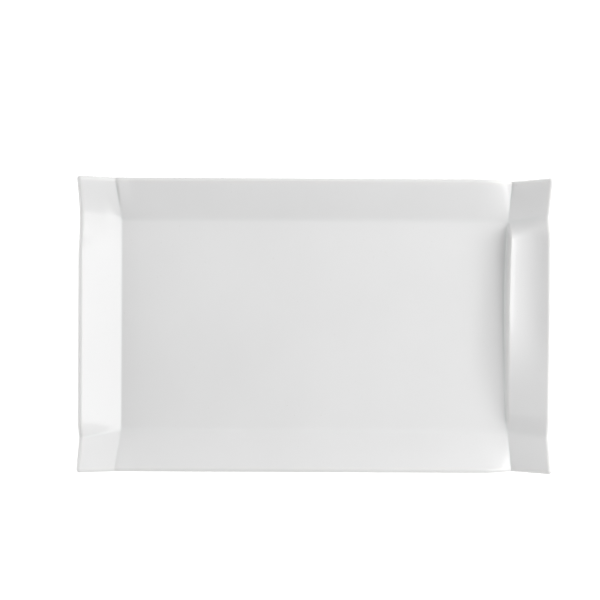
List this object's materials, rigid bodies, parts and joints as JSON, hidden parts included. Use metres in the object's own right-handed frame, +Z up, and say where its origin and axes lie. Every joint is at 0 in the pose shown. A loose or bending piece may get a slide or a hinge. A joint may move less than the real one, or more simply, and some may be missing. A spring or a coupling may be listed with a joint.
{
  "type": "china serving platter",
  "caption": "Rectangular white china serving platter with a flat well, wide angled border, raised corner facets and two raised end tabs, one plain and one swept up into a crest.",
  "frame": {"origin": "centre of the plane that the foot ring stands on", "axes": "+X along the length to one end tab, +Y across the width to one long rim, +Z up through the food side"},
  "size_m": [0.356, 0.222, 0.0323],
  "materials": {
    "biscuit": "matte",
    "dry_foot": "matte",
    "face_glaze": "gloss",
    "back_glaze": "gloss"
  },
  "bodies": {
    "root": {"porcelain_body": "biscuit", "foot_ring": "dry_foot", "face_glaze": "face_glaze", "underside_glaze": "back_glaze", "base_glaze": "back_glaze"}
  },
  "joints": []
}
